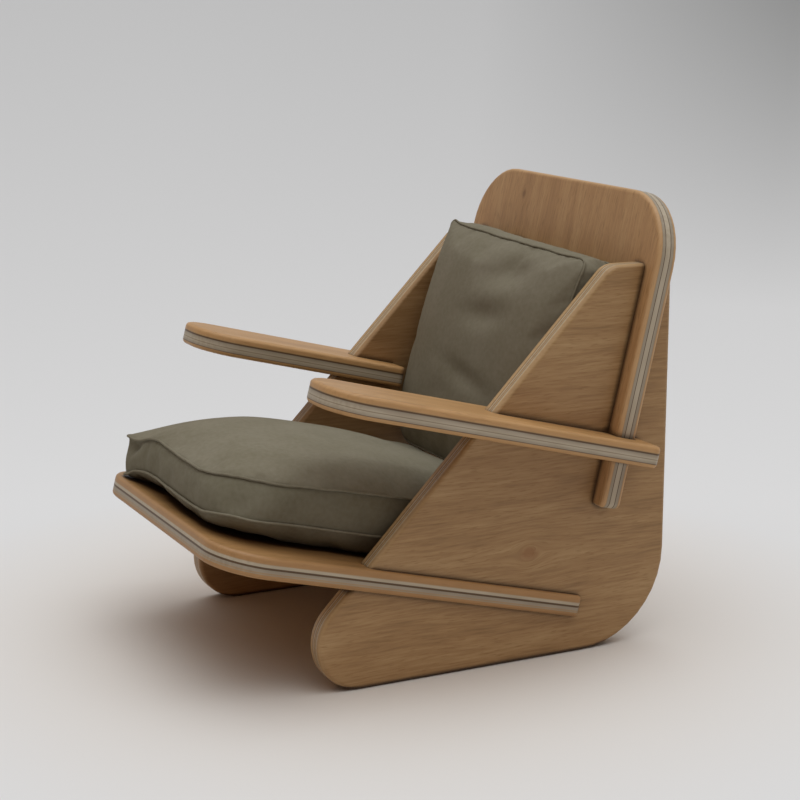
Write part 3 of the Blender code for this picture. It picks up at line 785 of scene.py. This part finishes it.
fill_cover(back_cushion, held, FILL_PRESSURE, SPARE_CLOTH, BACK_MOST_MOVE)
press_dents(back_cushion, back_upper, BACK_DENTS)
sew_piping("back_cushion_front_cord", back_cushion, back_seams["high"], BACK_PIPING_PROUD,
           "back_cushion", "back_cushion_front_piping")
sew_piping("back_cushion_rear_cord", back_cushion, back_seams["low"], BACK_PIPING_PROUD,
           "back_cushion", "back_cushion_rear_piping")
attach(back_cushion, "back_cushion")
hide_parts("back_cushion_core", "back_cushion_front_cover", "back_cushion_rear_cover",
            "back_cushion_boxing")
for cover in (seat_cushion, back_cushion):
    finer = cover.modifiers.new("finer cloth", "SUBSURF")
    finer.levels = 1
    finer.render_levels = 1
print("back cushion", [round(size, 3) for size in back_cushion.dimensions], "m")

# %% [markdown]
# ## Zips
# Each cover opens along its boxing, at the rear of the seat and under the back cushion. A zip is a
# woven tape with two rows of moulded teeth that mesh along the middle, and a nickel-plated
# slider with a pull that hangs from it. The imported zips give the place; the teeth are a loop.

# %% Zips
TOOTH_PITCH = 0.0022
TOOTH = Vector((0.0015, 0.0008, 0.0036))
TOOTH_OFFSET = 0.0012
SLIDER_LIFT = 0.0012
PULL_WIDTH = 0.006
PULL_THICKNESS = 0.0014
SLIDER_BEVEL = 0.0004
NYLON_GRIME_MM = 6
NICKEL_SCUFF_MM = 2
NICKEL_ROUGHNESS = {"To Min": 0.22, "To Max": 0.42}


def in_frame(node, matrix):
    """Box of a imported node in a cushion's frame, as its low and high corners."""
    spots = [matrix.inverted() @ vert.co for vert in nodes[node].data.vertices]
    return [Vector([choose(spot[axis] for spot in spots) for axis in range(3)]) for choose in (min, max)]


def add_block(bm, low, high, material_index):
    """Box from one corner to the other."""
    scale = Matrix.Diagonal((*(high - low), 1))
    made = bmesh.ops.create_cube(bm, size=1, matrix=Matrix.Translation((low + high) / 2) @ scale)
    for face in {face for vert in made["verts"] for face in vert.link_faces}:
        face.material_index = material_index


def zip_tape(name, node, matrix, body):
    """Tape with two rows of teeth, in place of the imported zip."""
    low, high = in_frame(node, matrix)
    bm = bmesh.new()
    add_block(bm, low, high, 0)
    middle = (low.z + high.z) / 2
    count = int((high.x - low.x) / TOOTH_PITCH)
    for tooth in range(count):
        side = TOOTH_OFFSET if tooth % 2 else -TOOTH_OFFSET
        corner = Vector((low.x + tooth * TOOTH_PITCH, high.y, middle + side - TOOTH.z / 2))
        add_block(bm, corner, corner + TOOTH, 1)
    mesh = bpy.data.meshes.new(name)
    bm.to_mesh(mesh)
    bm.free()
    tape = add_object(name, mesh, matrix, tape_cloth, tooth_nylon)
    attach(tape, body)
    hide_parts(node)
    return count


def zip_slider(name, node, tape_node, matrix, body):
    """Slider that straddles the teeth, with a pull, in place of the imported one."""
    low, high = in_frame(node, matrix)
    tape_low, tape_high = in_frame(tape_node, matrix)
    middle = (tape_low.z + tape_high.z) / 2
    reach = min(high.z - middle, middle - low.z)
    hangs_low = middle - low.z > high.z - middle
    bm = bmesh.new()
    body_top = (low.y + high.y) / 2 + SLIDER_LIFT
    body_low = Vector((low.x, low.y + SLIDER_LIFT, middle - reach))
    body_high = Vector((high.x, body_top, middle + reach))
    add_block(bm, body_low, body_high, 0)
    centre = (low.x + high.x) / 2
    end_z = low.z if hangs_low else high.z
    pull_low = Vector((centre - PULL_WIDTH / 2, high.y - PULL_THICKNESS, min(middle, end_z)))
    pull_high = Vector((centre + PULL_WIDTH / 2, high.y, max(middle, end_z)))
    add_block(bm, pull_low, pull_high, 0)
    post = Vector((PULL_WIDTH / 4, 0, PULL_WIDTH / 4))
    post_low = Vector((centre, body_top, middle)) - post
    post_high = Vector((centre, high.y - PULL_THICKNESS, middle)) + post
    add_block(bm, post_low, post_high, 0)
    mesh = bpy.data.meshes.new(name)
    bm.to_mesh(mesh)
    bm.free()
    slider = add_object(name, mesh, matrix, plated_nickel)
    edge = slider.modifiers.new("softened edges", "BEVEL")
    edge.width = SLIDER_BEVEL
    edge.segments = 2
    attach(slider, body)
    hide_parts(node)


tape_cloth = woven_cloth("olive woven polyester tape", "#5A5545", "#625D4C", "#6A6454")
tooth_nylon, tree, shader = new_material("moulded nylon teeth", roughness=0.45, ior=1.53)
spot = add(tree, "TexCoord").outputs["Object"]
grime = add(tree, "TexNoise", {"Vector": spot, "Scale": per_metre(NYLON_GRIME_MM)}).outputs["Fac"]
colour = add(tree, "ValToRGB", {"Fac": grime}, stops=[(0.35, "#4E4A3E"), (0.65, "#5E594B")]).outputs[0]
tree.links.new(colour, shader.inputs["Base Color"])
plated_nickel, tree, shader = new_material("plated nickel", metallic=1.0)
shader.inputs["Base Color"].default_value = linear("#B9B5AA")
spot = add(tree, "TexCoord").outputs["Object"]
scuffs = add(tree, "TexNoise", {"Vector": spot, "Scale": per_metre(NICKEL_SCUFF_MM),
                                "Detail": 3.0}).outputs["Fac"]
worn = add(tree, "MapRange", {"Value": scuffs, **NICKEL_ROUGHNESS}).outputs[0]
tree.links.new(worn, shader.inputs["Roughness"])
for part, matrix in (("seat", seat_matrix), ("back", back_matrix)):
    count = zip_tape(part + "_cushion_zip_tape", part + "_cushion_zip", matrix, part + "_cushion")
    zip_slider(part + "_cushion_zip_pull", part + "_cushion_zip_slider", part + "_cushion_zip", matrix,
               part + "_zip_slider")
    print(part, "zip has", count, "teeth")

# %% [markdown]
# ## Studio
# The floor is one broad pale sheet that runs past the edge of the picture, so it is the backdrop
# too. Painted shade darkens it slowly into the distance, more to one side, and near the chair a
# painted warm tint stands in for light bounced off the wood. The light is a soft dome, much
# brighter overhead and a little behind the chair than at the horizon, where it is warm like a
# wooden room. That gives wide brown shadows with no edge. Rays from the camera that miss
# everything see a plain pale grey in place of the dome, and so do reflections, which puts the
# sheen of a pale room on the oiled arms.

# %% Studio
FLOOR_RADIUS = 150.0
# Painted shade: the floor's colour darkens into the distance and towards DARK_SIDE.
FLOOR_NEAR = "#DBDCDC"
FLOOR_MID = "#CFD0D0"
FLOOR_FAR = "#BFC0C0"
FADE_FROM = Vector((3.0, -1.5, 0.0))
FADE_NEAR_M = 4.3
FLOOR_FADE = [(0, FLOOR_FAR), (0.55, FLOOR_MID), (1, FLOOR_NEAR)]
DARK_SIDE = Vector((0.45, 0.89, 0.0))
DARK_WIDTH = {"From Min": -0.13, "From Max": 0.85}
DARK_SPREAD = [(0, "#000000"), (0.17, "#5A5A5A"), (0.33, "#FFFFFF"), (0.75, "#000000")]
DARK_FROM_NEARNESS = 0.61
DARK_MOST = 0.95
DARK_GREY = "#ABABAA"
# Painted bounce light: a warm tint on the floor near the chair.
PAINTED_BOUNCE_TINT = "#FFF6EC"
PAINTED_BOUNCE_REACH_M = (0.35, 1.05)
DOME_LEVEL = 2.6
DOME = [(0, "#543A28"), (0.5, "#433226"), (0.8, "#A6A7A8"), (0.92, "#F0F3F6"), (1, "#FBFDFF")]
BRIGHTEST = Vector((0.036, 0.095, 0.995))
UNSEEN_GREY = "#7B7B7B"

bm = bmesh.new()
bmesh.ops.create_circle(bm, segments=96, radius=FLOOR_RADIUS, cap_ends=True)
floor_mesh = bpy.data.meshes.new("floor")
bm.to_mesh(floor_mesh)
bm.free()
paper, tree, shader = new_material("pale studio paper", roughness=0.9)
spot = add(tree, "TexCoord").outputs["Object"]
# Painted shade, darker with distance and to one side.
away = add(tree, "VectorMath", {0: spot, 1: FADE_FROM}, operation="DISTANCE").outputs["Value"]
nearness = add(tree, "Math", {0: FADE_NEAR_M, 1: away}, operation="DIVIDE", use_clamp=True).outputs[0]
fade = add(tree, "ValToRGB", {"Fac": nearness}, stops=FLOOR_FADE).outputs[0]
aside = add(tree, "VectorMath", {0: spot, 1: DARK_SIDE}, operation="DOT_PRODUCT").outputs["Value"]
aside = add(tree, "Math", {0: aside, 1: away}, operation="DIVIDE").outputs[0]
aside = add(tree, "MapRange", {"Value": aside, **DARK_WIDTH}).outputs[0]
aside = add(tree, "ValToRGB", {"Fac": aside}, stops=DARK_SPREAD).outputs[0]
farness = add(tree, "MapRange", {"Value": nearness, "From Min": DARK_FROM_NEARNESS, "From Max": 0.0,
                                 "To Max": DARK_MOST}).outputs[0]
dark = add(tree, "Math", {0: aside, 1: farness}, operation="MULTIPLY").outputs[0]
grey = add(tree, "Mix", {"Factor": dark, "A": fade, "B": linear(DARK_GREY)}, data_type="RGBA",
           blend_type="MULTIPLY").outputs[2]
# Painted bounce light, a warm tint that fades with distance from the chair.
from_chair = add(tree, "VectorMath", {0: spot}, operation="LENGTH").outputs["Value"]
painted_bounce = add(tree, "MapRange", {"Value": from_chair, "From Min": PAINTED_BOUNCE_REACH_M[1], "From Max": PAINTED_BOUNCE_REACH_M[0]})
grey = add(tree, "Mix", {"Factor": painted_bounce.outputs[0], "A": grey, "B": linear(PAINTED_BOUNCE_TINT)}, data_type="RGBA",
           blend_type="MULTIPLY").outputs[2]
tree.links.new(grey, shader.inputs["Base Color"])
floor = add_object("floor", floor_mesh, Matrix.Identity(4), paper)

world = bpy.data.worlds.new("studio dome")
world.use_nodes = True
tree = world.node_tree
direction = add(tree, "TexCoord").outputs["Generated"]
height = add(tree, "VectorMath", {0: direction, 1: BRIGHTEST}, operation="DOT_PRODUCT").outputs["Value"]
dome = add(tree, "ValToRGB", {"Fac": height}, stops=DOME).outputs[0]
rays = add(tree, "LightPath")
seen = add(tree, "Math", {0: rays.outputs["Is Camera Ray"], 1: rays.outputs["Is Glossy Ray"]},
           operation="MAXIMUM").outputs[0]
sky = add(tree, "Mix", {"Factor": seen, "A": dome, "B": linear(UNSEEN_GREY)}, data_type="RGBA").outputs[2]
backing = tree.nodes["Background"]
backing.inputs["Strength"].default_value = DOME_LEVEL
tree.links.new(sky, backing.inputs["Color"])
bpy.context.scene.world = world

bpy.context.scene.view_settings.view_transform = "Standard"
print("studio floor", FLOOR_RADIUS, "m in radius, dome level", DOME_LEVEL)
